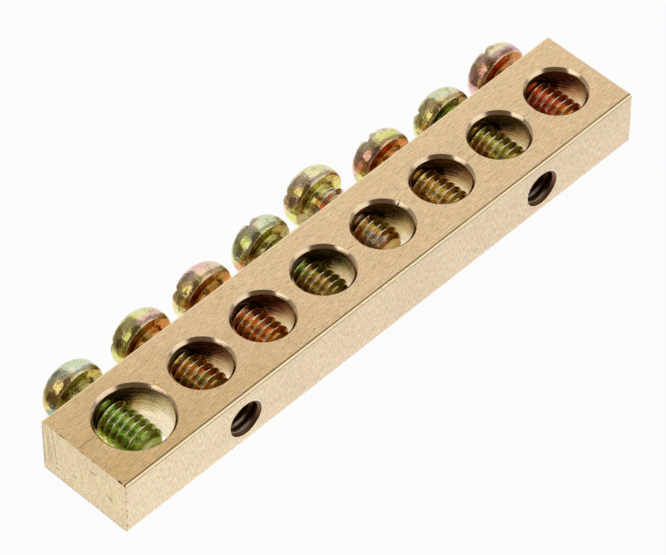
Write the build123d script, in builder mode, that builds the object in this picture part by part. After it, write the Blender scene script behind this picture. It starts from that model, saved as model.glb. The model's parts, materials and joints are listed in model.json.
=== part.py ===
from build123d import *
from math import sqrt
import os

# Earth terminal bar: a sawn length of drawn brass section with eight cable holes,
# and a clamp screw that runs into each of them from the rear long face.
# Millimetres. X runs along the bar from the large cable hole to the small ones,
# +Y points to the screw heads, +Z is the normal of the face with the cable holes.
# The origin lies on the underside, at half the bar's width, midway between the two
# fixing holes.

# Brass section
bar_width = 10.0
bar_height = 6.0
front_top_edge_radius = 0.2
front_bottom_edge_radius = 0.4
rear_edge_radius = 0.15

# Places along the bar
terminal_count = 8
terminal_pitch = 7.2
large_hole_pitch = 7.9
near_end_margin = 5.65
far_end_margin = 4.25
fixing_terminals = (2, 7)

# Cable holes; the large one was drilled slightly towards the front
large_hole_diameter = 6.8
large_hole_offset = 0.12
small_hole_diameter = 5.3
rim_chamfer_width = 0.2
rim_chamfer_depth = 0.3

# M4 thread: plain diameters of the crests and of the tap drill
thread_diameter = 3.96
tap_drill_diameter = 3.4
thread_clearance = 0.07
bore_mouth_chamfer = 0.3
# Depth to which a clamp screw can run into the front wall at a fixing hole
clamp_reach_in_wall = 0.1

# Clamp screws
tip_chamfer = 0.6
neck_diameter = 3.4
neck_length = 0.7
head_diameter = 5.8
head_height = 2.8
head_rounding_width = 0.3
head_rounding_height = 0.6
head_band = 0.4
slot_width = 1.1
slot_depth = 1.3

# Gap left under a head when its tip meets the far wall of a small cable hole
closed_head_gap = 1.14
# How far each screw was left backed off from there; one runs on into its fixing hole
backed_off = (0.36, 0.36, 0.36, 0.56, 1.46, 0.21, -0.17, 0.11)
# Turn of each screw's slot about its own axis, in degrees
slot_turns = (27, 168, 155, 94, 158, 102, 152, 96)

# Worked out from the sizes above
fixing_middle = sum(fixing_terminals) / len(fixing_terminals)
small_terminal_x = [
    (number - fixing_middle) * terminal_pitch for number in range(2, terminal_count + 1)
]
large_terminal_x = small_terminal_x[0] - large_hole_pitch
terminal_x = [large_terminal_x] + small_terminal_x
bar_start = terminal_x[0] - near_end_margin
bar_end = terminal_x[-1] + far_end_margin
bar_length = bar_end - bar_start
screw_axis_z = bar_height / 2
rear_face_y = bar_width / 2
thread_radius = thread_diameter / 2
tip_radius = thread_radius - tip_chamfer
small_hole_radius = small_hole_diameter / 2
# Where the edge of the tip, or the foot of its chamfer, meets the curved far wall
tip_reach = min(
    sqrt(small_hole_radius**2 - tip_radius**2),
    sqrt(small_hole_radius**2 - thread_radius**2) + tip_chamfer,
)
shank_length = rear_face_y + tip_reach + closed_head_gap
fixing_x = [terminal_x[number - 1] for number in fixing_terminals]

os.makedirs("parts", exist_ok=True)

# Bar: the drawn section, with sharper corners at the rear
with BuildPart() as bar:
    with BuildSketch(Plane.YZ.offset(bar_start)) as section:
        with Locations((0, bar_height / 2)):
            Rectangle(bar_width, bar_height)
        fillet(
            section.vertices().group_by(Axis.X)[0].sort_by(Axis.Y)[-1],
            front_top_edge_radius,
        )
        fillet(
            section.vertices().group_by(Axis.X)[0].sort_by(Axis.Y)[0],
            front_bottom_edge_radius,
        )
        fillet(section.vertices().group_by(Axis.X)[-1], rear_edge_radius)
    extrude(amount=bar_length)

    # Cable holes, drilled from face to face
    with BuildSketch(Plane.XY) as cable_holes:
        with Locations((large_terminal_x, -large_hole_offset)):
            Circle(large_hole_diameter / 2)
        with Locations([(x, 0) for x in small_terminal_x]):
            Circle(small_hole_radius)
    extrude(amount=bar_height, mode=Mode.SUBTRACT)

    # Their rims, chamfered a little deeper than wide on both faces
    for face_index in (0, -1):
        face = bar.faces().filter_by(Axis.Z).sort_by(Axis.Z)[face_index]
        rims = face.edges().filter_by(GeomType.CIRCLE)
        chamfer(rims, rim_chamfer_width, rim_chamfer_depth, reference=face)

    # Screw holes, from the rear face into each cable hole
    with BuildSketch(Plane.XZ.offset(-rear_face_y)) as screw_holes:
        with Locations([(x, screw_axis_z) for x in terminal_x]):
            Circle(thread_radius + thread_clearance)
    extrude(amount=rear_face_y, mode=Mode.SUBTRACT)
    rear_face = bar.faces().filter_by(Axis.Y).sort_by(Axis.Y)[-1]
    chamfer(rear_face.edges().filter_by(GeomType.CIRCLE), bore_mouth_chamfer)

    # Fixing holes: two of the tapped holes go on through the front wall, at the same
    # size as far as the clamp screw can reach and at the tap drill's size from there
    with BuildSketch(Plane.XZ) as clamp_reaches:
        with Locations([(x, screw_axis_z) for x in fixing_x]):
            Circle(thread_radius + thread_clearance)
    extrude(amount=small_hole_radius + clamp_reach_in_wall, mode=Mode.SUBTRACT)
    with BuildSketch(Plane.XZ) as fixing_holes:
        with Locations([(x, screw_axis_z) for x in fixing_x]):
            Circle(tap_drill_diameter / 2)
    extrude(amount=rear_face_y, mode=Mode.SUBTRACT)

bar.part.label = "bar"
export_step(bar.part, "parts/bar.step")


# Clamp screw: turned about its axis along Y, then slotted across the whole head
def build_clamp_screw(x, stand_off, slot_turn):
    seat = Plane(
        origin=(x, rear_face_y + stand_off, screw_axis_z),
        x_dir=(1, 0, 0),
        z_dir=(0, 0, 1),
    )
    crown = Plane(
        origin=(x, rear_face_y + stand_off + head_height, screw_axis_z),
        x_dir=(1, 0, 0),
        z_dir=(0, 1, 0),
    )
    seat_radius = head_diameter / 2 - head_rounding_width
    dome_foot = head_rounding_height + head_band
    with BuildPart() as screw:
        with BuildSketch(seat) as half_profile:
            with BuildLine() as outline:
                Polyline(
                    (0, -shank_length),
                    (tip_radius, -shank_length),
                    (thread_radius, tip_chamfer - shank_length),
                    (thread_radius, -neck_length),
                    (neck_diameter / 2, -neck_length),
                    (neck_diameter / 2, 0),
                    (seat_radius, 0),
                )
                EllipticalCenterArc(
                    (seat_radius, head_rounding_height),
                    head_rounding_width,
                    head_rounding_height,
                    start_angle=270,
                    arc_size=90,
                )
                Line(
                    (head_diameter / 2, head_rounding_height),
                    (head_diameter / 2, dome_foot),
                )
                EllipticalCenterArc(
                    (0, dome_foot),
                    head_diameter / 2,
                    head_height - dome_foot,
                    start_angle=0,
                    arc_size=90,
                )
                Line((0, head_height), (0, -shank_length))
            make_face()
        revolve(axis=Axis(seat.origin, (0, 1, 0)))
        with BuildSketch(crown) as slot:
            Rectangle(head_diameter, slot_width, rotation=slot_turn)
        extrude(amount=-slot_depth, mode=Mode.SUBTRACT)
    return screw


for number, (x, back_off, slot_turn) in enumerate(
    zip(terminal_x, backed_off, slot_turns), start=1
):
    clamp_screw = build_clamp_screw(x, closed_head_gap + back_off, slot_turn)
    clamp_screw.part.label = f"clamp_screw_{number}"
    export_step(clamp_screw.part, f"parts/clamp_screw_{number}.step")
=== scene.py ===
"""Dresses the earth terminal bar: a sawn length of brass with eight yellow-zinc screws.

Sizes are in millimetres in the part's own frame and become metres as the meshes are
made. X runs along the bar from the large cable hole, +Y points to the screw heads, +Z
is the normal of the face with the cable holes, and the origin lies on the underside,
midway between the two fixing holes.
"""

import json
import logging
import math
from collections.abc import Callable, Iterable, Sequence
from dataclasses import dataclass, field
from enum import Enum
from typing import TypeAlias

import bmesh
import bpy
from mathutils import Matrix, Vector

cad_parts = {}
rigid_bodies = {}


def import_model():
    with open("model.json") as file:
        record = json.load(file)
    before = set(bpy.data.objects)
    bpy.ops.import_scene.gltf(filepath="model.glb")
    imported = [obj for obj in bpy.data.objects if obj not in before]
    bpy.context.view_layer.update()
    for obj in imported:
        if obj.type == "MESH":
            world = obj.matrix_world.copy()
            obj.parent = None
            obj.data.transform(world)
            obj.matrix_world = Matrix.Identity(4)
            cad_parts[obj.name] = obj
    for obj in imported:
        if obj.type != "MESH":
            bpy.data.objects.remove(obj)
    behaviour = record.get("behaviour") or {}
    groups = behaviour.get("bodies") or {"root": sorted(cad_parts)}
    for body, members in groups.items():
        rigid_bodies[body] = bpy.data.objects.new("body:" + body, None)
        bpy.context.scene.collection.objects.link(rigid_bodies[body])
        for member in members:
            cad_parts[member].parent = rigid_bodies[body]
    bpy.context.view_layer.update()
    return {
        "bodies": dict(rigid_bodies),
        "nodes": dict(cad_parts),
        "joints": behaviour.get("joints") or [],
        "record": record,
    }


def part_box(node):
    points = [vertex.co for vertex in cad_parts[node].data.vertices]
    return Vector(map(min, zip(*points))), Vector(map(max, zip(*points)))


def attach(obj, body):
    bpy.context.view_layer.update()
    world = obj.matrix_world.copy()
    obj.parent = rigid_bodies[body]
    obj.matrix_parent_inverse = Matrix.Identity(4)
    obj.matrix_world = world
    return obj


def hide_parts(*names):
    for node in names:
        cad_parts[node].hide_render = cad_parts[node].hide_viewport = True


log = logging.getLogger("terminal_bar")

MM = 0.001
# Points closer than this are welded together, in metres
WELD = 1e-7
# Points closer than this are taken for the same one, in millimetres
NEAR = 0.01
# A clamp screw this close to a fixing hole along the bar is in line with it
IN_LINE = 0.1
Colour = tuple[float, float, float]
Point = tuple[float, float, float]
Spot = tuple[float, float]
Piece = bpy.types.Object
Material = bpy.types.Material
Value: TypeAlias = "Channel | float"
Shade: TypeAlias = "Channel | Colour"
Place: TypeAlias = "Channel | Point"
ORIGIN: Point = (0.0, 0.0, 0.0)
EVEN: Point = (1.0, 1.0, 1.0)
WHITE = (1.0, 1.0, 1.0, 1.0)


class Channel:
    """A shader socket that takes part in Python arithmetic."""

    def __init__(self, paint: "Paint", socket: bpy.types.NodeSocket) -> None:
        """Keeps the socket and the node tree that it belongs to."""
        self.paint = paint
        self.socket = socket

    def _math(self, operation: str, *values: Value) -> "Channel":
        """Adds one Math node with its operands in order."""
        sockets = dict(enumerate(values))
        return self.paint.node("ShaderNodeMath", {"operation": operation}, sockets)

    def __add__(self, other: Value) -> "Channel":
        """Sum."""
        return self._math("ADD", self, other)

    def __sub__(self, other: Value) -> "Channel":
        """Difference."""
        return self._math("SUBTRACT", self, other)

    def __rsub__(self, other: float) -> "Channel":
        """Difference, with the number first."""
        return self._math("SUBTRACT", other, self)

    def __mul__(self, other: Value) -> "Channel":
        """Product."""
        return self._math("MULTIPLY", self, other)

    def size(self) -> "Channel":
        """Value without its sign."""
        return self._math("ABSOLUTE", self)

    def most(self, other: Value) -> "Channel":
        """The larger of two values."""
        return self._math("MAXIMUM", self, other)

    def root(self) -> "Channel":
        """Square root."""
        return self._math("SQRT", self)

    def azimuth(self, other: "Channel") -> "Channel":
        """Angle in degrees from the other value's axis to this one's."""
        return self._math("ARCTAN2", self, other) * math.degrees(1)

    def elevation(self) -> "Channel":
        """Angle in degrees whose sine this is."""
        return self._math("ARCSINE", self) * math.degrees(1)

    def between(self, low: float, high: float, soft: float) -> "Channel":
        """1 between two values and 0 outside them, with soft ends."""
        return self.ramp(low - soft, low + soft) * self.ramp(high + soft, high - soft)

    def ramp(self, low: float, high: float) -> "Channel":
        """Goes smoothly from 0 at low to 1 at high, or down where low is above high.

        Args:
            low: the value that gives 0.
            high: the value that gives 1.

        Returns:
            The mask, from 0 to 1.
        """
        start, end = (0.0, 1.0) if low < high else (1.0, 0.0)
        return self.paint.node(
            "ShaderNodeMapRange",
            {"interpolation_type": "SMOOTHSTEP"},
            {0: self, 1: min(low, high), 2: max(low, high), 3: start, 4: end},
        )


class Paint:
    """The node tree of one material, or of the world."""

    def __init__(self, name: str, world: bpy.types.World | None = None) -> None:
        """Makes the material with an empty tree, or empties the world's.

        Args:
            name: the material's name.
            world: the world, where no material is wanted.
        """
        self.material = world or bpy.data.materials.new(name)
        self.material.use_nodes = True
        self.tree = self.material.node_tree
        self.tree.nodes.clear()

    def node(
        self,
        kind: str,
        settings: dict[str, object],
        sockets: dict[int | str, object],
        output: int | str = 0,
    ) -> Channel:
        """Adds any node.

        Args:
            kind: the node's type.
            settings: its own settings, set first.
            sockets: values or channels of its input sockets.
            output: which output is wanted.

        Returns:
            That output.
        """
        made = self.tree.nodes.new(kind)
        for key, value in settings.items():
            setattr(made, key, value)
        for key, value in sockets.items():
            if isinstance(value, Channel):
                self.tree.links.new(value.socket, made.inputs[key])
            else:
                made.inputs[key].default_value = value
        return Channel(self, made.outputs[output])

    def place(self, scale: Point = EVEN, shift: Point = ORIGIN) -> Channel:
        """Object coordinates in millimetres.

        Args:
            scale: stretch along each axis, after the change to millimetres.
            shift: what is added to the result.

        Returns:
            The vector.
        """
        coordinates = self.node("ShaderNodeTexCoord", {}, {}, "Object")
        factors = tuple(s / MM for s in scale)
        sockets = {"Vector": coordinates, "Location": shift, "Scale": factors}
        return self.node("ShaderNodeMapping", {}, sockets)

    def split(self, vector: Channel) -> tuple[Channel, Channel, Channel]:
        """The three parts of a vector."""
        made = self.node("ShaderNodeSeparateXYZ", {}, {0: vector}).socket.node
        return tuple(Channel(self, part) for part in made.outputs)

    def noise(
        self,
        scale: float,
        detail: float = 3.0,
        warp: float = 0.0,
        stretch: Point = EVEN,
        shift: Point = ORIGIN,
    ) -> Channel:
        """Soft noise from 0 to 1.

        Args:
            scale: grains to the millimetre.
            detail: octaves.
            warp: distortion.
            stretch: how many times finer it is along each axis.
            shift: moves the pattern.

        Returns:
            The noise.
        """
        where = self.place(stretch, shift)
        sockets = {"Vector": where, "Scale": scale, "Detail": detail, "Distortion": warp}
        return self.node("ShaderNodeTexNoise", {}, sockets)

    def grain(self, stretch: Point, detail: float = 2.0, warp: float = 0.0) -> Channel:
        """Noise with its own number of grains to the millimetre along each axis."""
        return self.noise(1.0, detail, warp, stretch)

    def specks(self, stretch: Point, scale: float) -> Channel:
        """Distance to the nearest of scattered points, in cells."""
        sockets = {"Vector": self.place(stretch), "Scale": scale}
        return self.node("ShaderNodeTexVoronoi", {}, sockets)

    def coat(self, colour: Shade, *coats: tuple[Value, Shade]) -> Channel:
        """Lays colours over a colour, one after the other.

        Args:
            colour: the ground.
            coats: pairs of a mask, which is 1 where the coat covers, and its colour.

        Returns:
            What is seen.
        """
        for mask, over in coats:
            pair = [c if isinstance(c, Channel) else (*c, 1.0) for c in (colour, over)]
            sockets = {0: mask, 6: pair[0], 7: pair[1]}
            colour = self.node("ShaderNodeMix", {"data_type": "RGBA"}, sockets, 2)
        return colour

    def vary(self, colour: Shade, *shares: tuple[Channel, float]) -> Channel:
        """Makes a colour lighter and darker in places.

        Args:
            colour: the colour so far.
            shares: pairs of a noise and how strongly it counts.

        Returns:
            The new colour.
        """
        shifts = [(noise - 0.5) * strength for noise, strength in shares]
        value = sum(shifts[1:], shifts[0]) + 1.0
        grey = self.node("ShaderNodeCombineXYZ", {}, {0: value, 1: value, 2: value})
        return self.vector("MULTIPLY", colour, grey)

    def vector(
        self,
        operation: str,
        one: Place,
        other: Place,
        output: int | str = 0,
    ) -> Channel:
        """Adds one Vector Math node and returns an output of it."""
        sockets = {0: one, 1: other}
        return self.node("ShaderNodeVectorMath", {"operation": operation}, sockets, output)

    def stroke(self, place: Channel, start: Point, end: Point, width: float) -> Channel:
        """A soft line between two points.

        Args:
            place: the coordinates in millimetres.
            start: one end.
            end: the other end.
            width: full width.

        Returns:
            1 on the line and 0 off it.
        """
        run = Vector(end) - Vector(start)
        away = self.vector("SUBTRACT", place, start)
        along = self.vector("DOT_PRODUCT", away, tuple(run / run.length_squared), "Value")
        share = self.node("ShaderNodeClamp", {}, {0: along})
        scaled = {0: tuple(run), "Scale": share}
        reach = self.node("ShaderNodeVectorMath", {"operation": "SCALE"}, scaled)
        gap = self.vector("DISTANCE", away, reach, "Value")
        return gap.ramp(width / 2, width / 5)

    def finish(
        self, colour: Channel, roughness: Value, relief: Channel, depth: float
    ) -> Material:
        """Adds a metal's shader and the output.

        Args:
            colour: base colour.
            roughness: roughness.
            relief: height of the bump.
            depth: the bump's depth in millimetres.

        Returns:
            The finished material.
        """
        bump = {"Height": relief, "Distance": depth * MM, "Strength": 1.0}
        sockets = {
            "Base Color": colour,
            "Roughness": roughness,
            "Metallic": 1.0,
            "Normal": self.node("ShaderNodeBump", {}, bump),
        }
        return self.show(self.node("ShaderNodeBsdfPrincipled", {}, sockets))

    def ray(self, kind: str) -> Channel:
        """1 for rays of one kind, such as Camera, and 0 for the others."""
        return self.node("ShaderNodeLightPath", {}, {}, f"Is {kind} Ray")

    def mix(self, factor: Channel, one: Channel, other: Channel) -> Channel:
        """Mixes two shaders, with the factor 1 for the second."""
        return self.node("ShaderNodeMixShader", {}, {0: factor, 1: one, 2: other})

    def show(self, shader: Channel, kind: str = "Material") -> bpy.types.ID:
        """Links a shader to the output.

        Args:
            shader: the surface shader.
            kind: Material or World.

        Returns:
            The material or the world.
        """
        output = self.tree.nodes.new(f"ShaderNodeOutput{kind}")
        self.tree.links.new(shader.socket, output.inputs["Surface"])
        return self.material


class Bench:
    """Modelling by Blender's operators."""

    @staticmethod
    def clear() -> None:
        """Deselects everything."""
        bpy.ops.object.select_all(action="DESELECT")

    @staticmethod
    def hold(*pieces: Piece) -> None:
        """Selects objects alone.

        Args:
            pieces: the objects, of which the first becomes active.
        """
        Bench.clear()
        for piece in pieces:
            piece.select_set(True)
        bpy.context.view_layer.objects.active = pieces[0]

    @staticmethod
    def close() -> None:
        """Leaves edit mode."""
        bpy.ops.object.mode_set(mode="OBJECT")

    @staticmethod
    def pick(
        piece: Piece,
        kind: str = "VERT",
        test: Callable[[bmesh.types.BMEdge], bool] | None = None,
    ) -> None:
        """Enters edit mode and selects what passes a test.

        Args:
            piece: the object.
            kind: VERT or EDGE.
            test: takes an element of that kind, or None where all are wanted.
        """
        Bench.hold(piece)
        bpy.ops.object.mode_set(mode="EDIT")
        bpy.ops.mesh.select_mode(type=kind)
        bpy.ops.mesh.select_all(action="DESELECT")
        mesh = bmesh.from_edit_mesh(piece.data)
        for item in {"VERT": mesh.verts, "EDGE": mesh.edges}[kind]:
            if test is None or test(item):
                item.select_set(True)
        mesh.select_flush_mode()
        bmesh.update_edit_mesh(piece.data)

    @staticmethod
    def settle(piece: Piece) -> None:
        """Puts the object's place, turn and scale into its mesh."""
        Bench.hold(piece)
        bpy.ops.object.transform_apply(location=True, rotation=True, scale=True)

    @staticmethod
    def added(name: str) -> Piece:
        """Names and settles the object that an operator just added.

        Args:
            name: its name.

        Returns:
            The object.
        """
        made = bpy.context.object
        made.name = name
        Bench.settle(made)
        return made

    @staticmethod
    def put(piece: Piece, place: Point = ORIGIN, turn: Point = ORIGIN) -> Piece:
        """Turns and moves a piece for good.

        Args:
            piece: the object.
            place: where its origin goes, in millimetres.
            turn: its turns about X, Y and Z in degrees.

        Returns:
            The piece.
        """
        piece.rotation_euler = [math.radians(angle) for angle in turn]
        piece.location = [value * MM for value in place]
        Bench.settle(piece)
        return piece

    @staticmethod
    def block(name: str, low: Point, high: Point) -> Piece:
        """A block between two corners, in millimetres.

        Args:
            name: the object's name.
            low: lowest corner.
            high: highest corner.

        Returns:
            The block.
        """
        Bench.clear()
        middle = [(a + b) / 2 * MM for a, b in zip(low, high)]
        extent = [(b - a) * MM for a, b in zip(low, high)]
        bpy.ops.mesh.primitive_cube_add(size=1, location=middle, scale=extent)
        return Bench.added(name)

    @staticmethod
    def bevel(piece: Piece, middle: Point, width: float, steps: int) -> None:
        """Bevels the edge that has its middle at a point.

        Args:
            piece: the object.
            middle: the point, in millimetres.
            width: how far the bevel reaches from the edge.
            steps: its facets.
        """
        target = Vector(middle) * MM

        def is_there(edge: bmesh.types.BMEdge) -> bool:
            """Whether the edge's middle is the point."""
            one, other = (vertex.co for vertex in edge.verts)
            return ((one + other) / 2 - target).length < NEAR * MM

        Bench.pick(piece, "EDGE", is_there)
        bpy.ops.mesh.bevel(offset=width * MM, segments=steps, affect="EDGES")
        Bench.close()

    @staticmethod
    def line(name: str, points: Sequence[Spot]) -> Piece:
        """Draws a profile as a chain of edges in the plane of X and Y.

        Args:
            name: the object's name.
            points: its corners in millimetres.

        Returns:
            The wire.
        """
        Bench.clear()
        first = (points[0][0] * MM, points[0][1] * MM, 0)
        bpy.ops.mesh.primitive_plane_add(size=MM, location=first)
        made = Bench.added(name)
        Bench.pick(made)
        bpy.ops.mesh.merge(type="CENTER")
        for (x0, y0), (x1, y1) in zip(points, points[1:]):
            step = ((x1 - x0) * MM, (y1 - y0) * MM, 0)
            bpy.ops.mesh.extrude_vertices_move(TRANSFORM_OT_translate={"value": step})
        Bench.close()
        return made

    @staticmethod
    def turned(name: str, points: Sequence[Spot], steps: int = 96) -> Piece:
        """Spins a profile about the Y axis into a closed solid.

        Args:
            name: the object's name.
            points: the profile, which starts and ends on the axis.
            steps: faces around.

        Returns:
            The solid.
        """
        made = Bench.line(name, points)
        Bench.pick(made)
        bpy.ops.mesh.spin(steps=steps, angle=math.tau, center=(0, 0, 0), axis=(0, 1, 0))
        bpy.ops.mesh.select_all(action="SELECT")
        bpy.ops.mesh.remove_doubles(threshold=WELD)
        bpy.ops.mesh.normals_make_consistent(inside=False)
        Bench.close()
        return made

    @staticmethod
    def sliver(start: Point, end: Point, width: float) -> Piece:
        """A thin square prism between two points, on edge, which cuts a groove.

        Args:
            start: one end in millimetres.
            end: the other end.
            width: across the groove.

        Returns:
            The prism.
        """
        Bench.clear()
        run = (Vector(end) - Vector(start)) * MM
        bpy.ops.mesh.primitive_cylinder_add(
            vertices=4,
            radius=width / 2 * MM,
            depth=run.length,
            location=(Vector(end) + Vector(start)) / 2 * MM,
            rotation=run.to_track_quat("Z", "Y").to_euler(),
        )
        return Bench.added("nick")

    @staticmethod
    def cut(piece: Piece, tool: Piece, operation: str = "DIFFERENCE") -> None:
        """Applies a Boolean and removes the tool.

        Args:
            piece: what is cut.
            tool: what it is cut with.
            operation: DIFFERENCE, UNION or INTERSECT.
        """
        change = piece.modifiers.new("cut", "BOOLEAN")
        change.operation = operation
        change.object = tool
        change.solver = "EXACT"
        change.material_mode = "TRANSFER"
        Bench.apply(piece, change)
        bpy.data.objects.remove(tool)

    @staticmethod
    def apply(piece: Piece, change: bpy.types.Modifier) -> None:
        """Applies a modifier."""
        Bench.hold(piece)
        bpy.ops.object.modifier_apply(modifier=change.name)

    @staticmethod
    def copy(piece: Piece, name: str) -> Piece:
        """Copies an object with its mesh.

        Args:
            piece: the object.
            name: the copy's name.

        Returns:
            The copy.
        """
        made = piece.copy()
        made.data = piece.data.copy()
        made.name = name
        bpy.context.collection.objects.link(made)
        return made

    @staticmethod
    def join(pieces: Sequence[Piece], name: str) -> Piece:
        """Joins objects into one.

        Args:
            pieces: the objects, at least two.
            name: the name of what they become.

        Returns:
            The joined object.
        """
        Bench.hold(*pieces)
        bpy.ops.object.join()
        made = bpy.context.object
        made.name = name
        return made

    @staticmethod
    def smooth(piece: Piece, degrees: float) -> None:
        """Shades smooth across edges flatter than an angle."""
        Bench.hold(piece)
        bpy.ops.object.shade_smooth_by_angle(angle=math.radians(degrees))

    @staticmethod
    def wear(piece: Piece, *materials: Material) -> None:
        """Gives an object these material slots in place of its own."""
        piece.data.materials.clear()
        for material in materials:
            piece.data.materials.append(material)


@dataclass(frozen=True)
class Thread:
    """A metric thread about the Y axis, in millimetres.

    flank_round is the share of a flank that is rounded at each of its ends, and
    flank_bulge is the height there as a share of the straight flank's.
    """

    crest_radius: float = 1.98
    root_radius: float = 1.61
    pitch: float = 0.7
    crest_flat: float = 0.1
    root_flat: float = 0.2
    flank_round: float = 0.08
    flank_bulge: float = 0.7
    steps: int = 72

    def marks(self) -> list[Spot]:
        """One turn of the profile, with the flanks' ends rounded.

        Returns:
            Places along the axis and heights above the root.
        """
        flank = (self.pitch - self.crest_flat - self.root_flat) / 2
        depth = self.crest_radius - self.root_radius
        soft = flank * self.flank_round
        lift = depth * self.flank_round * self.flank_bulge
        rise = self.root_flat
        fall = rise + flank + self.crest_flat
        return [
            (0, 0),
            (rise, 0),
            (rise + soft, lift),
            (rise + flank - soft, depth - lift),
            (rise + flank, depth),
            (fall, depth),
            (fall + soft, depth - lift),
            (self.pitch - soft, lift),
            (self.pitch, 0),
        ]

    def rod(self, name: str, start: float, end: float) -> Piece:
        """A closed threaded rod along Y.

        Args:
            name: the object's name.
            start: lower end.
            end: upper end.

        Returns:
            The rod.
        """
        base = start - self.pitch
        profile = [(self.root_radius + lift, base + y) for y, lift in self.marks()]
        made = Bench.line(name, profile)
        twist = made.modifiers.new("thread", "SCREW")
        twist.axis = "Y"
        twist.angle = math.tau
        twist.screw_offset = self.pitch * MM
        twist.iterations = math.ceil((end - start) / self.pitch) + 2
        twist.steps = twist.render_steps = self.steps
        twist.use_smooth_shade = False
        Bench.apply(made, twist)
        Bench.pick(made)
        bpy.ops.mesh.remove_doubles(threshold=2 * WELD)
        for height, inner in ((start, True), (end, False)):
            bpy.ops.mesh.select_all(action="SELECT")
            bpy.ops.mesh.bisect(
                plane_co=(0, height * MM, 0),
                plane_no=(0, 1, 0),
                use_fill=True,
                clear_inner=inner,
                clear_outer=not inner,
                threshold=WELD,
            )
        bpy.ops.mesh.select_all(action="SELECT")
        bpy.ops.mesh.normals_make_consistent(inside=False)
        Bench.close()
        return made


class BrassFace(Enum):
    """The kinds of surface on the bar, in the order of its material slots."""

    TOP = 0
    SIDE = 1
    END = 2
    BORE = 3
    RIM = 4
    TAPPED = 5
    SCAR = 6


@dataclass(frozen=True)
class BrassTones:
    """Base colours of the bar's surfaces and of the marks on them, with painted highlights and
    painted shade.
    """

    # The top's near tone is darker than its far one, as painted shade.
    top_near: Colour = (0.69, 0.47, 0.22)
    top_far: Colour = (0.82, 0.6, 0.355)
    side_near: Colour = (0.96, 0.765, 0.52)
    side_far: Colour = (0.89, 0.705, 0.495)
    end: Colour = (0.93, 0.75, 0.44)
    # Painted highlight along the long edges of the top face.
    edge: Colour = (1.0, 0.86, 0.54)
    # Painted highlight on the pale lip round each fixing hole.
    burr_highlight: Colour = (1.0, 0.97, 0.9)
    # Bore tones paint shade: pale low down, half shade, then dark towards the upper rim; the
    # dark tone also serves as random dark brass.
    bore: Colour = (0.88, 0.74, 0.5)
    bore_dark_and_shade: Colour = (0.26, 0.145, 0.065)
    bore_half_shade: Colour = (0.62, 0.46, 0.22)
    rim: Colour = (0.98, 0.755, 0.5)
    # Dark tapped walls stand in for shade; the crest colour is a painted highlight.
    tapped: Colour = (0.21, 0.1, 0.05)
    crest: Colour = (0.9, 0.8, 0.6)
    scar: Colour = (0.13, 0.075, 0.035)
    # Dark brown for real grime in marks and pits, also used as painted shade in fine edge
    # grooves and along the foot of the faces.
    grime_and_shade: Colour = (0.2, 0.11, 0.04)


@dataclass(frozen=True)
class Scratch:
    """A line on the bar, in millimetres."""

    start: Point
    end: Point
    width: float
    strength: float = 0.7


@dataclass(frozen=True)
class Wear:
    """Marks that sawing, drilling and handling left on the bar.

    The scribed line's parts are given by start, end and place, the nicks by start, end
    and width, and the other marks by spots on the face that they lie on.
    """

    scribed: tuple[Point, ...] = (
        (-31.4, -29.6, 0.68),
        (-14.9, -13.8, 0.35),
        (-0.6, 0.3, 0.12),
        (13.7, 14.9, -0.05),
        (20.9, 21.9, -0.05),
        (27.9, 29.3, 0.05),
    )
    scribed_slope: float = 0.02
    saw_lines: tuple[tuple[Spot, ...], ...] = (
        ((4.95, 5.4), (4.93, 3.5), (4.88, 0.7)),
        ((4.75, 5.8), (4.41, 4.5), (4.26, 1.2)),
        ((4.34, 5.65), (4.11, 3.6), (4.01, 1.5)),
        ((3.84, 5.9), (3.58, 4.45), (3.4, 1.6)),
    )
    dashes: tuple[tuple[Spot, Spot], ...] = (
        ((3.5, 1.2), (3.1, 1.15)),
        ((1.46, 2.0), (1.0, 1.85)),
        ((-0.82, 4.36), (-1.3, 4.34)),
        ((-2.63, 2.9), (-3.2, 2.62)),
    )
    corner_dots: tuple[Spot, ...] = (
        (5.35, 5.1),
        (4.2, 4.0),
        (2.9, 2.75),
        (2.35, 2.0),
        (1.05, 0.8),
    )
    end_nicks: tuple[Point, ...] = (
        (2.95, 2.35, 0.1),
        (0.35, -0.1, 0.07),
        (-1.05, -1.35, 0.08),
        (-4.05, -4.5, 0.22),
        (-4.8, -5.1, 0.26),
    )
    front_marks: tuple[Spot, ...] = ((-27.77, 4.81), (-28.72, 2.78), (-24.1, 3.9))
    front_mark_run: Spot = (0.12, 0.1)

    def on_top(self, height: float) -> list[Scratch]:
        """The scribed centre line, seen between the cable holes.

        Args:
            height: height of the face.

        Returns:
            Its parts.
        """
        made = []
        for start, end, y in self.scribed:
            drop = self.scribed_slope * (end - start)
            made.append(Scratch((start, y, height), (end, y - drop, height), 0.11, 0.55))
        return made

    def corner(self, x: float, y: float) -> list[Scratch]:
        """Dots down an upright corner."""
        return [Scratch((x, y, a), (x, y, b), 0.2, 0.55) for a, b in self.corner_dots]

    def on_end(self, x: float, y: float) -> list[Scratch]:
        """Saw lines, dashes and the dirty corner of the near end.

        Args:
            x: place of the face.
            y: place of the corner.

        Returns:
            The marks.
        """
        made = [
            Scratch((x, *a), (x, *b), 0.13, 0.5)
            for line in self.saw_lines
            for a, b in zip(line, line[1:])
        ]
        made += [Scratch((x, *a), (x, *b), 0.16, 0.4) for a, b in self.dashes]
        return made + self.corner(x, y)

    def on_side(self, x: float, y: float) -> list[Scratch]:
        """Dots on the front face and on its near corner.

        Args:
            x: place of the corner.
            y: place of the face.

        Returns:
            The marks.
        """
        dx, dz = self.front_mark_run
        made = [Scratch((a, y, b), (a + dx, y, b + dz), 0.16, 0.45) for a, b in self.front_marks]
        return self.corner(x, y) + made


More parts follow.
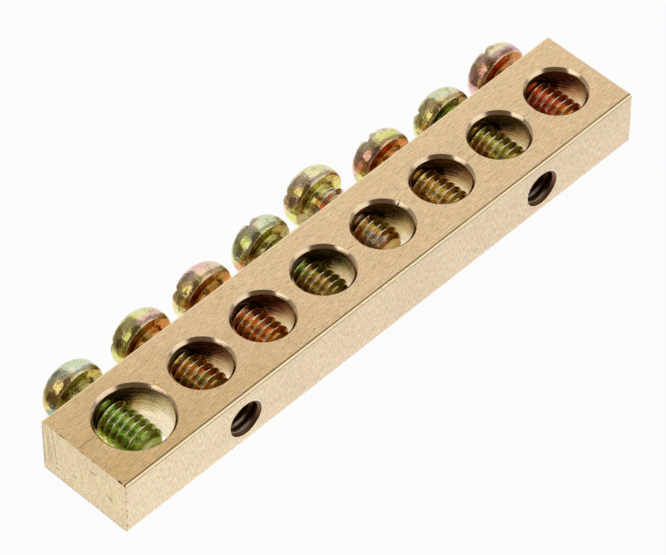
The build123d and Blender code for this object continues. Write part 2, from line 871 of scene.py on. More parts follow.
@dataclass(frozen=True)
class BrassFinish:
    """Makes the bar's materials."""

    low: Point
    high: Point
    fixing_x: tuple[float, ...]
    tones: BrassTones = field(default_factory=BrassTones)
    wear: Wear = field(default_factory=Wear)

    def marks(
        self, paint: Paint, colour: Channel, scratches: Iterable[Scratch]
    ) -> tuple[Channel, Channel]:
        """Darkens a colour along scratches.

        Args:
            paint: the material.
            colour: the colour so far.
            scratches: the lines, at least one.

        Returns:
            The colour and the mask of all lines.
        """
        place, total = paint.place(), None
        for scratch in scratches:
            mask = paint.stroke(place, scratch.start, scratch.end, scratch.width)
            mask = mask * scratch.strength
            total = mask if total is None else total.most(mask)
        breaks = paint.noise(2.6, 2).ramp(0.3, 0.5)
        total = total * (breaks * 0.5 + 0.5)
        return paint.coat(colour, (total, self.tones.grime_and_shade)), total

    def along(self, x: Channel) -> Channel:
        """0 at the near end and 1 at the far end."""
        return x.ramp(self.low[0] - 3, self.high[0] * 0.1)

    def top(self) -> Material:
        """Drawn face with the cable holes: lengthwise grain, pits, painted edge highlights.

        Returns:
            The material.
        """
        paint, tones = Paint("drawn brass"), self.tones
        x, y, z = paint.split(paint.place())
        grain, streak = paint.grain((1.3, 13, 13), 3), paint.grain((0.25, 6, 6), 3)
        tooth, cloud = paint.noise(10.0, 2), paint.grain((0.3, 0.6, 0.6))
        # Painted shade darkens the top towards the near end and a little towards the front; the
        # clouds are random tone.
        share = self.along(x) + (cloud - 0.5) * 0.9 + y.ramp(-2, 5) * 0.3
        colour = paint.coat(tones.top_near, (share, tones.top_far))
        colour = paint.vary(colour, (grain, 1.2), (streak, 0.4), (tooth, 1.3))
        where = paint.noise(0.16, 1, shift=(31, 7, 3)).ramp(0.5, 0.6)
        dots = paint.specks((1, 1.5, 1), 2.6).ramp(0.17, 0.08)
        near = x.between(-23.5, -18.5, 1.2) * y.between(-2.2, 2.4, 0.6)
        pits = dots * (where.most(near) * 0.75 + 0.25)
        front, rear = y + self.high[1], self.high[1] - y
        # Painted highlights along the front and rear long edges.
        shine = front.ramp(0.16, 0.13)
        # Painted shade in a fine groove beside the front edge.
        line = (front - 0.21).size().ramp(0.09, 0.05) * (cloud.ramp(0.2, 0.6) * 0.3 + 0.7)
        colour = paint.coat(
            colour,
            (pits * 0.75, tones.grime_and_shade),
            (shine, tones.edge),
            (rear.ramp(0.2, 0.12), tones.edge),
            (line * 0.9, tones.grime_and_shade),
        )
        colour, lines = self.marks(paint, colour, self.wear.on_top(self.high[2]))
        relief = grain * 0.5 + tooth * 0.7 - pits * 2 - line - lines
        return paint.finish(colour, tooth * 0.1 + 0.33 - shine * 0.2, relief, 0.012)

    def side(self) -> Material:
        """Drawn side faces: paler, fine grain, painted shade, painted highlights on each fixing
        hole's burr.

        Returns:
            The material.
        """
        paint, tones = Paint("drawn brass side"), self.tones
        x, y, z = paint.split(paint.place())
        upright, along = paint.grain((10, 10, 1.6)), paint.grain((1.2, 10, 10))
        tooth, cloud = paint.noise(10.0, 2), paint.grain((0.2, 0.6, 0.6))
        share = self.along(x) + (cloud - 0.5) * 0.6
        colour = paint.coat(tones.side_near, (share, tones.side_far))
        colour = paint.vary(colour, (upright, 1.1), (along, 0.5), (tooth, 1.0))
        down = self.high[2] - z
        # Painted shade in a fine groove below the top edge, and a painted contact shadow along
        # the foot.
        line = (down - 0.19).size().ramp(0.06, 0.03) * (cloud.ramp(0.25, 0.6) * 0.4 + 0.5)
        foot = z.ramp(0.2, 0.06) * 0.5
        # Painted highlight on the right side of the lip at each fixing hole.
        burr_highlights = None
        for hole in self.fixing_x:
            dx, dz = x - hole, z - self.high[2] / 2
            radius = (dx * dx + dz * dz).root() + (tooth - 0.5) * 0.2
            burr_highlight = radius.between(1.6, 1.98, 0.05) * (dx + dz * 0.3).ramp(1.4, 1.65)
            burr_highlights = burr_highlight if burr_highlights is None else burr_highlights.most(burr_highlight)
        colour = paint.coat(colour, (line.most(foot), tones.grime_and_shade), (burr_highlights, tones.burr_highlight))
        colour, lines = self.marks(paint, colour, self.wear.on_side(*self.low[:2]))
        relief = upright * 0.6 + along * 0.4 + tooth * 0.4 + burr_highlights * 2 - line - lines
        return paint.finish(colour, cloud * 0.1 + 0.36, relief, 0.012)

    def sawn(self) -> Material:
        """Sawn ends: upright saw lines.

        Returns:
            The material.
        """
        paint, tones = Paint("sawn brass"), self.tones
        x, y, z = paint.split(paint.place())
        lines, fine = paint.grain((1, 7, 0.6), 4, 0.2), paint.grain((8, 11, 4))
        cloud = paint.noise(0.4, 2)
        colour = paint.coat(tones.end, (cloud, tones.side_near))
        colour = paint.vary(colour, (lines, 0.55), (fine, 1.1))
        # Darker along the top edge; a painted contact shadow along the foot.
        rim = (self.high[2] - z).ramp(0.1, 0.02) * 0.45
        foot = z.ramp(0.16, 0.04) * 0.5
        colour = paint.coat(colour, (rim.most(foot), tones.grime_and_shade))
        colour, marks = self.marks(paint, colour, self.wear.on_end(*self.low[:2]))
        return paint.finish(colour, cloud * 0.1 + 0.4, lines + fine * 0.4 - marks, 0.025)

    def bore(self) -> Material:
        """Drilled walls: fine rings, with painted shade darkening them towards the upper rim.

        Returns:
            The material.
        """
        paint, tones = Paint("drilled brass"), self.tones
        x, y, z = paint.split(paint.place())
        rings = paint.grain((0.35, 0.35, 7), 3)
        cloud, tooth = paint.noise(0.7, 3), paint.noise(6.0, 2)
        # Painted shade: pale low down and at the front, darker up the wall and towards the rear,
        # paler at the first cable hole.
        rise = z + (cloud - 0.5) * 3 + y * 0.65 - 0.2 - x.ramp(-21, -23) * 1.4
        dots = paint.specks((1, 1, 1.4), 1.7).ramp(0.19, 0.1)
        colour = paint.coat(
            tones.bore,
            (rise.ramp(1.4, 3.2), tones.bore_half_shade),
            (rise.ramp(3.0, 5.0), tones.bore_dark_and_shade),
            (dots * 0.75, tones.grime_and_shade),
        )
        colour = paint.vary(colour, (rings, 1.0), (tooth, 0.5))
        return paint.finish(colour, rings * 0.15 + 0.2, rings + tooth * 0.4, 0.03)

    def rim(self) -> Material:
        """Chamfered rims of the cable holes: bright turned rings.

        Returns:
            The material.
        """
        paint = Paint("chamfered brass")
        rings, around = paint.grain((0.6, 0.6, 18)), paint.grain((1.5, 1.5, 1.5), 3)
        colour = paint.vary(self.tones.rim, (rings, 0.6), (around, 0.3))
        return paint.finish(colour, 0.17, rings + around * 0.5, 0.012)

    def tapped(self) -> Material:
        """Tapped walls: dark as painted shade, glossy, with painted crest highlights at the core
        diameter.

        Returns:
            The material.
        """
        paint, tones = Paint("tapped brass"), self.tones
        x, y, z = paint.split(paint.place())
        cloud = paint.noise(1.6, 2)
        coats = [(cloud.ramp(0.3, 0.8) * 0.5, tones.bore_dark_and_shade)]
        rise = z - self.high[2] / 2
        for hole in self.fixing_x:
            dx = x - hole
            radius = (dx * dx + rise * rise).root()
            # Painted highlight on the crests at the lower left of each fixing hole.
            crest = radius.ramp(1.7, 1.67) * (rise + dx * 0.5).ramp(-0.5, -1.2)
            coats.append((crest, tones.crest))
        colour = paint.coat(tones.tapped, *coats)
        return paint.finish(colour, cloud * 0.1 + 0.38, cloud, 0.02)

    def scar(self) -> Material:
        """Nicks and dents, dark inside.

        Returns:
            The material.
        """
        paint = Paint("scarred brass")
        cloud = paint.noise(4.0, 2)
        colour = paint.coat(self.tones.scar, (cloud, self.tones.bore_dark_and_shade))
        return paint.finish(colour, 0.45, cloud, 0.01)

    def all(self) -> list[Material]:
        """Every material of the bar, in the order of BrassFace."""
        makers = (self.top, self.side, self.sawn, self.bore, self.rim, self.tapped, self.scar)
        return [make() for make in makers]


@dataclass(frozen=True)
class CableHole:
    """A cable hole, in millimetres."""

    x: float
    y: float
    radius: float


@dataclass
class BrassBar:
    """The drawn, drilled and tapped bar.

    Each long edge is given by how far it is bevelled and in how many facets.
    """

    low: Point
    high: Point
    holes: list[CableHole]
    screw_x: list[float]
    fixing_x: list[float]
    front_top_edge: tuple[float, int] = (0.14, 1)
    front_bottom_edge: tuple[float, int] = (0.4, 7)
    rear_edges: tuple[float, int] = (0.15, 5)
    rim_width: float = 0.27
    rim_depth: float = 0.3
    rim_break: float = 0.04
    rim_steps: int = 128
    bore_radius: float = 2.05
    mouth_chamfer: float = 0.3
    clamp_reach: float = -2.75
    fixing_thread: Thread = field(
        default_factory=lambda: Thread(crest_radius=2.04, root_radius=1.65)
    )
    tap_turn: float = 225.0
    nicked_hole: int = 4
    nick_turn: float = 16.0
    nick_width: float = 0.16
    dash_width: float = 0.05
    smooth_angle: float = 20.0
    overrun: float = 0.1

    @property
    def axis_z(self) -> float:
        """Height of the screws' axes."""
        return (self.low[2] + self.high[2]) / 2

    def block(self) -> Piece:
        """The drawn section, sawn to length, with its long edges bevelled.

        Returns:
            The block.
        """
        made = Bench.block("brass_bar", self.low, self.high)
        middle = (self.low[0] + self.high[0]) / 2
        front, bottom, rear, top = *self.low[1:], *self.high[1:]
        Bench.bevel(made, (middle, front, top), *self.front_top_edge)
        Bench.bevel(made, (middle, front, bottom), *self.front_bottom_edge)
        Bench.bevel(made, (middle, rear, top), *self.rear_edges)
        Bench.bevel(made, (middle, rear, bottom), *self.rear_edges)
        return made

    def drill(self, made: Piece) -> None:
        """Cuts the cable holes with their chamfered rims.

        Args:
            made: the bar.
        """
        facet = self.rim_width - self.rim_break
        bottom, top = self.low[2], self.high[2]
        drills = []
        for hole in self.holes:
            wide = hole.radius + self.rim_width + self.overrun
            waist = hole.radius + self.rim_break
            profile = [
                (0, bottom - self.overrun),
                (wide, bottom - self.overrun),
                (waist, bottom + facet),
                (hole.radius, bottom + self.rim_depth),
                (hole.radius, top - self.rim_depth),
                (waist, top - facet),
                (wide, top + self.overrun),
                (0, top + self.overrun),
            ]
            drill = Bench.turned("drill", profile, self.rim_steps)
            drills.append(Bench.put(drill, (hole.x, hole.y, 0), (90, 0, 0)))
        Bench.cut(made, Bench.join(drills, "drills"))

    def bore(self, made: Piece) -> None:
        """Cuts the clamp screws' holes, and the fixing holes' threads.

        Args:
            made: the bar.
        """
        rear = self.high[1]
        wide = self.bore_radius + self.mouth_chamfer + self.overrun
        drills, taps = [], []
        for x in self.screw_x:
            start = self.clamp_reach if x in self.fixing_x else 0
            profile = [
                (0, start),
                (self.bore_radius, start),
                (self.bore_radius, rear - self.mouth_chamfer),
                (wide, rear + self.overrun),
                (0, rear + self.overrun),
            ]
            drill = Bench.turned("drill", profile)
            drills.append(Bench.put(drill, (x, 0, self.axis_z)))
        start, end = self.low[1] - self.overrun, self.clamp_reach + self.overrun
        for x in self.fixing_x:
            tap = self.fixing_thread.rod("tap", start, end)
            taps.append(Bench.put(tap, (x, 0, self.axis_z), (0, self.tap_turn, 0)))
        Bench.cut(made, Bench.join(drills, "drills"))
        Bench.cut(made, Bench.join(taps, "taps"))

    def scars(self, made: Piece, wear: Wear, scar: Material) -> None:
        """Cuts the end's nicks and dashes, and the nick at one cable hole.

        Args:
            made: the bar.
            wear: the marks.
            scar: what their insides are made of.
        """
        x, top = self.low[0], self.high[2]
        tools = [Bench.sliver((x, a, top), (x, b, top), width) for a, b, width in wear.end_nicks]
        tools += [Bench.sliver((x, *a), (x, *b), self.dash_width) for a, b in wear.dashes]
        hole = self.holes[self.nicked_hole]
        turn = math.radians(self.nick_turn)
        spans = (
            (hole.radius - 0.15, self.rim_depth),
            (hole.radius + self.rim_width + 0.1, 0.02),
        )
        ends = [
            (hole.x + reach * math.cos(turn), reach * math.sin(turn), top - depth)
            for reach, depth in spans
        ]
        tools.append(Bench.sliver(*ends, self.nick_width))
        for tool in tools:
            Bench.wear(tool, scar)
        Bench.cut(made, Bench.join(tools, "nicks"))

    def kind(self, centre: Vector, normal: Vector) -> BrassFace:
        """Which finish a face has.

        Args:
            centre: its centre in metres.
            normal: its normal.

        Returns:
            The kind of surface.
        """
        at, lean = centre / MM, abs(normal.z)
        for hole in self.holes:
            away = math.hypot(at.x - hole.x, at.y - hole.y) - hole.radius
            if NEAR / 2 < away < self.rim_width and 0.3 < lean < 0.9:
                return BrassFace.RIM
            if -2 * NEAR < away < self.rim_width and lean < 0.1:
                return BrassFace.BORE
        ray = math.hypot(min(abs(at.x - x) for x in self.screw_x), at.z - self.axis_z)
        if ray < self.bore_radius + 0.2 and abs(normal.y) < 0.999:
            return BrassFace.TAPPED
        if abs(normal.x) > 0.9:
            return BrassFace.END
        if normal.z > 0.7 and at.z > self.high[2] - 0.1:
            return BrassFace.TOP
        return BrassFace.SIDE

    def build(self, finish: BrassFinish) -> Piece:
        """Builds the bar.

        Args:
            finish: makes its materials.

        Returns:
            The bar.
        """
        made = self.block()
        self.drill(made)
        self.bore(made)
        materials = finish.all()
        Bench.wear(made, *materials)
        for face in made.data.polygons:
            face.material_index = self.kind(face.center, face.normal).value
        self.scars(made, finish.wear, materials[BrassFace.SCAR.value])
        Bench.smooth(made, self.smooth_angle)
        return made


class Tint(Enum):
    """Colours that yellow passivated zinc takes; brown also paints shade."""

    MINT = (0.66, 0.73, 0.49)
    TEAL = (0.28, 0.46, 0.36)
    GREEN = (0.34, 0.54, 0.1)
    LIME = (0.74, 0.74, 0.22)
    OLIVE = (0.5, 0.42, 0.12)
    GOLD = (0.88, 0.68, 0.24)
    STRAW = (0.76, 0.63, 0.33)
    MUSTARD = (0.6, 0.36, 0.07)
    PALE = (0.84, 0.78, 0.44)
    PEACH = (0.87, 0.66, 0.46)
    ORANGE = (0.78, 0.32, 0.06)
    COPPER = (0.74, 0.38, 0.2)
    RED = (0.72, 0.2, 0.09)
    PINK = (0.85, 0.53, 0.49)
    MAUVE = (0.56, 0.38, 0.4)
    BROWN = (0.24, 0.12, 0.05)
    SILVER = (0.72, 0.75, 0.62)


@dataclass(frozen=True)
class ScrewLook:
    """How one clamp screw was left, and the colours of its plating; the pale crown tints include
    painted sheen.
    """

    slot_turn: float
    thread_turn: float
    # Paler tints on the up-facing top: plating colour with painted sheen.
    crown: tuple[Tint, Tint]
    middle: Tint
    side: tuple[Tint, Tint]
    heel: Tint
    seat: tuple[Tint, Tint]
    shank: tuple[Tint, Tint, Tint]
    seed: float


@dataclass(frozen=True)
class ZincFinish:
    """Yellow passivated zinc in drifting colours, with painted highlights and painted shade."""

    look: ScrewLook
    centre: Point
    crest_radius: float = 1.98
    # Pale colour of wear on the thread crests, also painted as highlights there and on the
    # underside's rim.
    wear_and_highlight: Colour = (0.98, 0.87, 0.64)

    def drift(self, paint: Paint, tints: Sequence[Tint], seed: float, scale: float) -> Channel:
        """Colours that run into each other.

        Args:
            paint: the material.
            tints: the colours.
            seed: moves the pattern.
            scale: patches to the millimetre.

        Returns:
            The colour.
        """
        coats = []
        for step, tint in enumerate(tints[1:], start=1):
            shift = (seed * step, seed - step, step * 5)
            patch = paint.noise(scale * step, 3, 0.5, shift=shift)
            coats.append((patch.ramp(0.34 + 0.05 * step, 0.64), tint.value))
        return paint.coat(tints[0].value, *coats)

    def make(self, name: str) -> Material:
        """Makes the material.

        Args:
            name: its name.

        Returns:
            The material.
        """
        look, seat, brown = self.look, self.centre[1], Tint.BROWN.value
        paint = Paint(name)
        x, y, z = paint.split(paint.place())
        dx, dz = x - self.centre[0], z - self.centre[2]
        radius = (dx * dx + dz * dz).root()
        wobble = (paint.noise(0.9, 4) - 0.5) * 1.6
        crown = self.drift(paint, look.crown, look.seed + 3, 0.45)
        side = self.drift(paint, look.side, look.seed + 9, 0.4)
        under = self.drift(paint, look.seat, look.seed + 6, 0.4)
        under = paint.coat(under, ((dx + dz).ramp(1.0, -2.2) * 0.6, brown))
        # Colour zones follow which way the head faces; the pale crown on the up-facing top is
        # plating colour with painted sheen.
        lift = dx * 0.1 + (y - seat) * 0.8 + dz * 0.56 + wobble
        right = (dx + wobble).ramp(-1.7, 0.1) * 0.85 + 0.15
        head = paint.coat(
            side,
            (lift.ramp(1.5, 2.0) * right, look.middle.value),
            (lift.ramp(2.0, 2.5), crown),
            ((lift + dx * 0.3).ramp(0.0, -0.8), look.heel.value),
        )
        dome = self.drift(paint, (Tint.STRAW, Tint.GOLD, look.side[1]), look.seed + 1, 0.5)
        dome = paint.coat(dome, (0.25, head))
        turn = math.radians(look.slot_turn)
        across = dz * math.cos(turn) - dx * math.sin(turn)
        # Painted shade inside the slot.
        slot = across.size().ramp(0.6, 0.55) * y.ramp(seat + 1.3, seat + 1.45)
        stain = paint.noise(1.5, 5, 0.4, shift=(0, 3, look.seed))
        # Painted highlight along the rim of the underside, towards the top.
        edge = y.between(seat + 0.02, seat + 0.12, 0.03) * radius.ramp(2.6, 2.66)
        edge = edge * (dz + wobble * 2).ramp(0.4, 2.2)
        head = paint.coat(
            head,
            (y.ramp(seat + 1.8, seat + 2.4), dome),
            (slot * 0.6, brown),
            (y.ramp(seat + 0.14, seat + 0.02), under),
            (stain.ramp(0.52, 0.66) * 0.45, brown),
            (edge * 0.65, self.wear_and_highlight),
        )
        # Thread crests: wear with painted highlights; roots darkened as painted shade.
        crest = radius.ramp(self.crest_radius - 0.06, self.crest_radius - 0.02)
        root = radius.ramp(self.crest_radius - 0.31, self.crest_radius - 0.37)
        chips = paint.noise(2.2, 3).ramp(0.3, 0.55)
        colour = paint.coat(
            self.drift(paint, look.shank, look.seed, 0.3),
            (root * 0.45, brown),
            (crest * (chips * 0.75 + 0.12), self.wear_and_highlight),
            (y.ramp(seat - 0.75, seat - 0.6), head),
        )
        mottle, grit = paint.noise(1.6, 3), paint.noise(7.0, 2)
        colour = paint.vary(colour, (grit, 0.5))
        return paint.finish(colour, mottle * 0.1 + 0.15, mottle + grit * 0.06, 0.09)


@dataclass(frozen=True)
class ScrewSizes:
    """Sizes of the clamp screws, in millimetres.

    head_overlap is how far the head's neck reaches into the shank, and clearance is how
    far the tool that shapes the tip stands outside the thread.
    """

    shank_length: float = 8.402
    tip_chamfer: float = 0.6
    tip_cup: float = 0.2
    neck_radius: float = 1.7
    neck_length: float = 0.7
    neck_round: float = 0.4
    head_radius: float = 2.9
    head_height: float = 2.8
    rounding_width: float = 0.3
    rounding_height: float = 0.6
    band: float = 0.4
    slot_width: float = 1.1
    slot_depth: float = 1.3
    edge: float = 0.07
    edge_steps: int = 3
    edge_angle: float = 40.0
    head_overlap: float = 0.05
    clearance: float = 0.2


def arc(centre: Spot, radii: Spot, start: float, end: float, steps: int) -> list[Spot]:
    """Points along an elliptical arc.

    Args:
        centre: its centre.
        radii: its two radii.
        start: first angle in degrees.
        end: last angle.
        steps: its parts.

    Returns:
        One point more than it has parts.
    """
    turns = [math.radians(start + (end - start) * step / steps) for step in range(steps + 1)]
    return [
        (centre[0] + radii[0] * math.cos(turn), centre[1] + radii[1] * math.sin(turn))
        for turn in turns
    ]


@dataclass
class ScrewStock:
    """One head and one threaded shank, from which all eight screws are copied."""

    sizes: ScrewSizes = field(default_factory=ScrewSizes)
    thread: Thread = field(default_factory=lambda: Thread(crest_flat=0.05))
    head: Piece | None = None
    shank: Piece | None = None

    def head_profile(self) -> list[Spot]:
        """Half section of the head and neck.

        Returns:
            Its corners, from the neck's end to the crown.
        """
        s = self.sizes
        base = -s.neck_length - s.head_overlap
        seat = (s.head_radius - s.rounding_width, s.rounding_height)
        foot = s.rounding_height + s.band
        neck = (s.neck_radius + s.neck_round, -s.neck_round)
        return [
            (0, base),
            (s.neck_radius, base),
            *arc(neck, (s.neck_round, s.neck_round), 180, 90, 5),
            *arc(seat, (s.rounding_width, s.rounding_height), -90, 0, 8),
            *arc((0, foot), (s.head_radius, s.head_height - foot), 0, 90, 18)[:-1],
            (0, s.head_height),
        ]

    def make_head(self) -> Piece:
        """Spins the head, cuts its slot and softens the slot's edges.

        Returns:
            The head.
        """
        s = self.sizes
        head = Bench.turned("head", self.head_profile())
        low = (-s.head_radius - 1, s.head_height - s.slot_depth, -s.slot_width / 2)
        high = (s.head_radius + 1, s.head_height + 1, s.slot_width / 2)
        Bench.cut(head, Bench.block("slot", low, high))
        soft = head.modifiers.new("edges", "BEVEL")
        soft.width = s.edge * MM
        soft.segments = s.edge_steps
        soft.limit_method = "ANGLE"
        soft.angle_limit = math.radians(s.edge_angle)
        Bench.apply(head, soft)
        return head

    def make_shank(self) -> Piece:
        """Cuts the threaded rod to its chamfered and cupped tip.

        Returns:
            The shank.
        """
        s = self.sizes
        rod = self.thread.rod("shank", -s.shank_length, -s.neck_length)
        wide = self.thread.crest_radius + s.clearance
        tip = self.thread.crest_radius - s.tip_chamfer
        sheath = [
            (0, s.tip_cup - s.shank_length),
            (tip * 0.5, s.tip_cup * 0.75 - s.shank_length),
            (tip - 0.1, -s.shank_length),
            (tip, 0.02 - s.shank_length),
            (wide, s.tip_chamfer + s.clearance - s.shank_length),
            (wide, 0),
            (0, 0),
        ]
        Bench.cut(rod, Bench.turned("sheath", sheath), "INTERSECT")
        return rod

    def prepare(self) -> None:
        """Models the two stock pieces."""
        self.head = self.make_head()
        self.shank = self.make_shank()

    def discard(self) -> None:
        """Removes the stock pieces once every screw is made."""
        for piece in (self.head, self.shank):
            bpy.data.objects.remove(piece)


@dataclass
class ClampScrew:
    """One slotted clamp screw."""

    number: int
    low: Point
    high: Point
    look: ScrewLook
    stock: ScrewStock
    smooth_angle: float = 30.0

    def build(self) -> Piece:
        """Copies the stock pieces, turns them and puts them in place.

        Returns:
            The screw.
        """
        seat_y = self.low[1] + self.stock.sizes.shank_length
        middle = [(a + b) / 2 for a, b in zip(self.low, self.high)]
        centre = (middle[0], seat_y, middle[2])
        made = Bench.copy(self.stock.shank, f"screw_{self.number}")
        Bench.put(made, turn=(0, self.look.thread_turn, 0))
        head = Bench.copy(self.stock.head, "head")
        Bench.put(head, turn=(0, -self.look.slot_turn, 0))
        Bench.cut(made, head, "UNION")
        Bench.put(made, centre)
        Bench.wear(made, ZincFinish(self.look, centre).make(f"yellow zinc {self.number}"))
        for face in made.data.polygons:
            face.material_index = 0
        Bench.smooth(made, self.smooth_angle)
        return made


LOOKS = (
    ScrewLook(
        27, 313, (Tint.MINT, Tint.MINT), Tint.SILVER, (Tint.GOLD, Tint.OLIVE), Tint.TEAL,
        (Tint.OLIVE, Tint.LIME), (Tint.GREEN, Tint.LIME, Tint.GREEN), 1.0,
    ),
    ScrewLook(
        168, 46, (Tint.PALE, Tint.LIME), Tint.PINK, (Tint.LIME, Tint.OLIVE), Tint.LIME,
        (Tint.ORANGE, Tint.OLIVE), (Tint.MUSTARD, Tint.ORANGE, Tint.OLIVE), 2.3,
    ),
    ScrewLook(
        155, 90, (Tint.PEACH, Tint.PINK), Tint.PEACH, (Tint.GOLD, Tint.OLIVE), Tint.PALE,
        (Tint.ORANGE, Tint.MUSTARD), (Tint.ORANGE, Tint.COPPER, Tint.ORANGE), 3.7,
    ),
    ScrewLook(
        94, 130, (Tint.PEACH, Tint.MINT), Tint.MINT, (Tint.LIME, Tint.MINT), Tint.COPPER,
        (Tint.LIME, Tint.OLIVE), (Tint.MUSTARD, Tint.OLIVE, Tint.GREEN), 5.1,
    ),
    ScrewLook(
        158, 57, (Tint.PALE, Tint.PEACH), Tint.PALE, (Tint.PINK, Tint.GOLD), Tint.LIME,
        (Tint.LIME, Tint.GOLD), (Tint.ORANGE, Tint.LIME, Tint.SILVER), 6.2,
    ),
    ScrewLook(
        102, 164, (Tint.PALE, Tint.PALE), Tint.LIME, (Tint.PINK, Tint.COPPER), Tint.LIME,
        (Tint.COPPER, Tint.ORANGE), (Tint.MUSTARD, Tint.MUSTARD, Tint.GOLD), 7.9,
    ),
    ScrewLook(
        152, 300, (Tint.MINT, Tint.PALE), Tint.PEACH, (Tint.GOLD, Tint.LIME), Tint.MINT,
        (Tint.GREEN, Tint.OLIVE), (Tint.MUSTARD, Tint.GREEN, Tint.LIME), 9.4,
    ),
    ScrewLook(
        96, 105, (Tint.PEACH, Tint.PALE), Tint.MAUVE, (Tint.PINK, Tint.ORANGE), Tint.PINK,
        (Tint.COPPER, Tint.ORANGE), (Tint.RED, Tint.RED, Tint.ORANGE), 10.6,
    ),
)


@dataclass(frozen=True)
class Card:
    """A patch of the surroundings, by azimuth and elevation in degrees."""

    azimuths: tuple[float, float]
    elevations: tuple[float, float]
    soft: float
    level: float


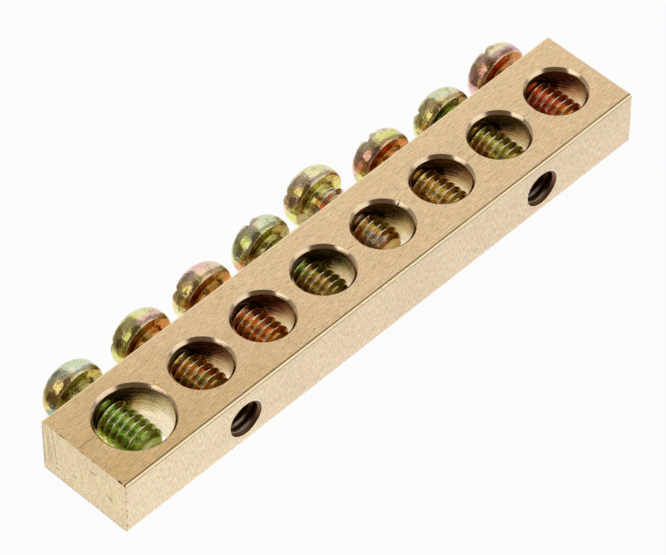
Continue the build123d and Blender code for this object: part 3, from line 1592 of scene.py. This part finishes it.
@dataclass(frozen=True)
class Studio:
    """Surroundings, floor, lamp and camera, in millimetres and degrees.

    A level of 1 is white. warmth is how much redder than grey the dark room is, and
    floor_glow is how much of the floor that the camera sees is its own light.
    """

    camera_place: Point = (-203.33, -198.474, 328.387)
    camera_target: Point = (-1.916, 0.544, 3.165)
    roll: float = -0.199
    lens: float = 274.68
    sensor: float = 36.0
    clip: Spot = (0.01, 50.0)
    floor_size: float = 6000.0
    floor_drop: float = 0.02
    floor_grey: float = 0.9
    floor_glow: float = 0.95
    lamp_place: Point = (-456.0, 148.0, 361.0)
    lamp_size: Spot = (400.0, 340.0)
    lamp_level: float = 1.05
    dark: float = 0.08
    warmth: float = 0.035
    cards: tuple[Card, ...] = (
        Card((-70, 110), (58, 100), 10, 0.4),
        Card((-30, 22), (-40, 58), 7, 0.45),
        Card((-30, 22), (-40, 2), 5, 0.8),
        Card((20, 76), (-40, 68), 5, 1.05),
        Card((20, 76), (-40, 38), 6, 0.92),
        Card((76, 137), (18, 60), 6, 0.38),
        Card((76, 140), (-40, 15), 4, 0.28),
        Card((-90, -36), (6, 42), 6, 0.92),
        Card((-85, -36), (-20, 6), 5, 0.3),
        Card((-85, -24), (44, 72), 5, 0.75),
        Card((-200, 200), (-100, -33), 5, 1.08),
    )

    @staticmethod
    def add(name: str, data: bpy.types.ID) -> Piece:
        """Puts a camera or a lamp into the scene.

        Args:
            name: its name.
            data: what the object shows.

        Returns:
            The object.
        """
        made = bpy.data.objects.new(name, data)
        bpy.context.scene.collection.objects.link(made)
        return made

    def camera(self) -> None:
        """Places the camera that sees the bar as the photograph does."""
        data = bpy.data.cameras.new("camera")
        data.lens = self.lens
        data.sensor_width = self.sensor
        data.clip_start, data.clip_end = self.clip
        made = self.add("camera", data)
        back = (Vector(self.camera_place) - Vector(self.camera_target)).normalized()
        right = Vector((0, 0, 1)).cross(back).normalized()
        up = back.cross(right)
        turn = math.radians(self.roll)
        level = right * math.cos(turn) + up * math.sin(turn)
        upright = up * math.cos(turn) - right * math.sin(turn)
        frame = Matrix((level, upright, back)).transposed().to_4x4()
        made.matrix_world = Matrix.Translation(Vector(self.camera_place) * MM) @ frame
        bpy.context.scene.camera = made

    def world(self) -> None:
        """White and grey cards round the bar, seen only in reflections, on a dark room."""
        world = bpy.data.worlds.new("surroundings")
        bpy.context.scene.world = world
        paint = Paint("surroundings", world)
        x, y, z = paint.split(paint.node("ShaderNodeTexCoord", {}, {}, "Generated"))
        azimuth, elevation = y.azimuth(x), z.elevation()
        level: Value = self.dark
        for card in self.cards:
            mask = azimuth.between(*card.azimuths, card.soft)
            mask = mask * elevation.between(*card.elevations, card.soft)
            level = (1 - mask) * level + mask * card.level
        warmth = (1 - level) * self.warmth
        warm = {0: level + warmth, 1: level, 2: level - warmth * 0.7}
        room = {"Color": paint.node("ShaderNodeCombineXYZ", {}, warm), "Strength": 1.0}
        white = {"Color": WHITE, "Strength": 1.0}
        tent, paper = (paint.node("ShaderNodeBackground", {}, c) for c in (room, white))
        paint.show(paint.mix(paint.ray("Camera"), tent, paper), "World")

    def floor(self) -> None:
        """A plain white floor that keeps a faint shadow and isn't seen in reflections."""
        Bench.clear()
        drop = (0, 0, -self.floor_drop * MM)
        bpy.ops.mesh.primitive_plane_add(size=self.floor_size * MM, location=drop)
        made = Bench.added("floor")
        paint = Paint("white floor")
        grey = (self.floor_grey, self.floor_grey, self.floor_grey, 1)
        plain = paint.node("ShaderNodeBsdfDiffuse", {}, {"Color": grey})
        glow = paint.node("ShaderNodeEmission", {}, {"Color": WHITE, "Strength": 1.0})
        clear = paint.node("ShaderNodeBsdfTransparent", {}, {})
        seen = paint.mix(paint.ray("Camera") * self.floor_glow, plain, glow)
        Bench.wear(made, paint.show(paint.mix(paint.ray("Glossy"), seen, clear)))

    def lamp(self) -> None:
        """A soft lamp at the left that faces the bar, as bright as its level of white."""
        data = bpy.data.lights.new("left softbox", "AREA")
        data.shape = "RECTANGLE"
        data.size, data.size_y = (side * MM for side in self.lamp_size)
        data.energy = self.lamp_level * math.pi * data.size * data.size_y
        made = self.add("left softbox", data)
        made.location = Vector(self.lamp_place) * MM
        made.rotation_euler = Vector(self.lamp_place).to_track_quat("Z", "Y").to_euler()

    def build(self) -> None:
        """Sets up everything around the bar."""
        self.camera()
        self.world()
        self.floor()
        self.lamp()
        bpy.context.scene.view_settings.view_transform = "Standard"


def box_mm(node: str) -> tuple[Point, Point]:
    """A CAD node's lowest and highest corners in millimetres."""
    low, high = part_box(node)
    return tuple(low / MM), tuple(high / MM)


def main() -> None:
    """Builds the dressed bar and the studio around it."""
    logging.basicConfig(level=logging.INFO, format="%(message)s")
    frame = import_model()
    mounts = {mount["name"]: mount for mount in frame["record"]["mounts"]}
    count = sum(name.startswith("cable_hole_") for name in mounts)
    holes = []
    for number in range(1, count + 1):
        mount = mounts[f"cable_hole_{number}"]
        x, y = (value / MM for value in mount["pos_m"][:2])
        holes.append(CableHole(x, y, mount["dims"]["r_mm"]))
    boxes = [box_mm(f"clamp_screw_{number}") for number in range(1, count + 1)]
    screw_x = [(low[0] + high[0]) / 2 for low, high in boxes]
    spread = mounts["fixing_holes"]["dims"]["spacing_x_mm"] / 2
    middle = mounts["fixing_holes"]["pos_m"][0] / MM
    fixing_x = [x for x in screw_x if abs(abs(x - middle) - spread) < IN_LINE]
    low, high = box_mm("bar")
    bar = BrassBar(low, high, holes, screw_x, fixing_x)
    made = bar.build(BrassFinish(low, high, tuple(fixing_x)))
    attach(made, "bar")
    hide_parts("bar")
    log.info("%s: %d faces", made.name, len(made.data.polygons))
    stock = ScrewStock()
    stock.prepare()
    for number, ((low, high), look) in enumerate(zip(boxes, LOOKS), start=1):
        screw = ClampScrew(number, low, high, look, stock).build()
        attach(screw, f"clamp_screw_{number}")
        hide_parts(f"clamp_screw_{number}")
        log.info("%s: %d faces", screw.name, len(screw.data.polygons))
    stock.discard()
    Studio().build()


if __name__ == "__main__":
    main()
